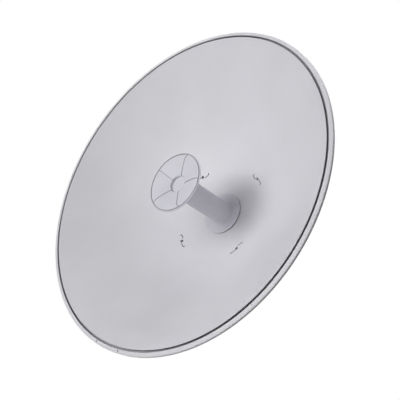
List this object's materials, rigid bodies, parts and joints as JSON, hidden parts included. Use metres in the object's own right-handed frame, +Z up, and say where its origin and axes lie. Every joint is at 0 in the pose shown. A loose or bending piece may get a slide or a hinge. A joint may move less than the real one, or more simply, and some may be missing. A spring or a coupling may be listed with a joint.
{
  "type": "outdoor wireless bridge",
  "caption": "Round parabolic dish antenna with the radio in its central feed, on a steel tilt bracket and a toothed clamp for a vertical mast.",
  "frame": {"origin": "on the axis of the vertical mast, halfway up the clamp", "axes": "+Z up along the mast, -Y the way the dish faces, +X to the right seen from the front"},
  "size_m": [0.42, 0.24, 0.42],
  "materials": {
    "coated_steel": "satin light grey powder coat on pressed sheet",
    "moulded_plastic": "fine matt moulded light grey",
    "galvanised_steel": "galvanised, faint spangle",
    "zinc_fastener": "bright zinc plate",
    "black_rubber": "matt",
    "circuit_board": "solder mask over glass laminate",
    "copper": "bare copper",
    "tinned_shield": "tinned sheet",
    "spun_aluminium": "spun, satin",
    "clear_plastic": "clear moulded",
    "vial_fluid": "clear, tinted fluid"
  },
  "bodies": {
    "mast_side": {"mast_bracket": "galvanised_steel", "clamp_bolt_left": "zinc_fastener", "clamp_bolt_right": "zinc_fastener", "pivot_bolt": "zinc_fastener", "pivot_nut": "zinc_fastener", "lock_bolt_left": "zinc_fastener", "lock_bolt_right": "zinc_fastener", "lock_washer_left": "zinc_fastener", "lock_washer_right": "zinc_fastener", "lock_nut_left": "zinc_fastener", "lock_nut_right": "zinc_fastener", "level_holder": "moulded_plastic", "level_vial": "vial_fluid"},
    "clamp": {"clamp_saddle": "galvanised_steel", "clamp_washer_left": "zinc_fastener", "clamp_washer_right": "zinc_fastener", "clamp_nut_left": "zinc_fastener", "clamp_nut_right": "zinc_fastener"},
    "antenna": {"dish_reflector": "coated_steel", "feed_tube": "moulded_plastic", "feed_cap": "moulded_plastic", "feed_rear_cap": "moulded_plastic", "rear_housing": "moulded_plastic", "subreflector": "spun_aluminium", "feed_board": "circuit_board", "feed_radiator": "copper", "shield_can_front": "tinned_shield", "shield_can_rear": "tinned_shield", "ethernet_jack": "tinned_shield", "light_pipes": "clear_plastic", "feed_seal": "black_rubber", "cable_grommet": "black_rubber", "reset_switch": "black_rubber", "tilt_bracket": "galvanised_steel", "door_pin": "zinc_fastener", "seat_screw_1": "zinc_fastener", "seat_screw_2": "zinc_fastener", "seat_screw_3": "zinc_fastener", "seat_screw_4": "zinc_fastener", "ground_screw": "zinc_fastener", "feed_socket": "moulded_plastic"},
    "port_door": {"port_door": "moulded_plastic"},
    "feed_latch": {"feed_latch": "moulded_plastic"},
    "reset_button": {"reset_button": "moulded_plastic"}
  },
  "joints": [
    {"name": "elevation_tilt", "type": "hinge", "parent": "mast_side", "child": "antenna", "pos_m": [0, -0.048, -0.014], "axis": [1, 0, 0], "range_deg": [-20, 20]},
    {"name": "clamp_slide", "type": "slide", "parent": "mast_side", "child": "clamp", "axis": [0, 1, 0], "range_m": [-0.014, 0.002]},
    {"name": "port_door_hinge", "type": "hinge", "parent": "antenna", "child": "port_door", "pos_m": [0, -0.0721, -0.0744], "axis": [-1, 0, 0], "range_deg": [0, 100]},
    {"name": "feed_latch_slide", "type": "slide", "parent": "antenna", "child": "feed_latch", "axis": [0, 0, 1], "range_m": [0, 0.004], "stiffness_N_per_m": 800},
    {"name": "reset_button_press", "type": "slide", "parent": "antenna", "child": "reset_button", "axis": [0, 0, 1], "range_m": [0, 0.0008], "stiffness_N_per_m": 1000}
  ]
}
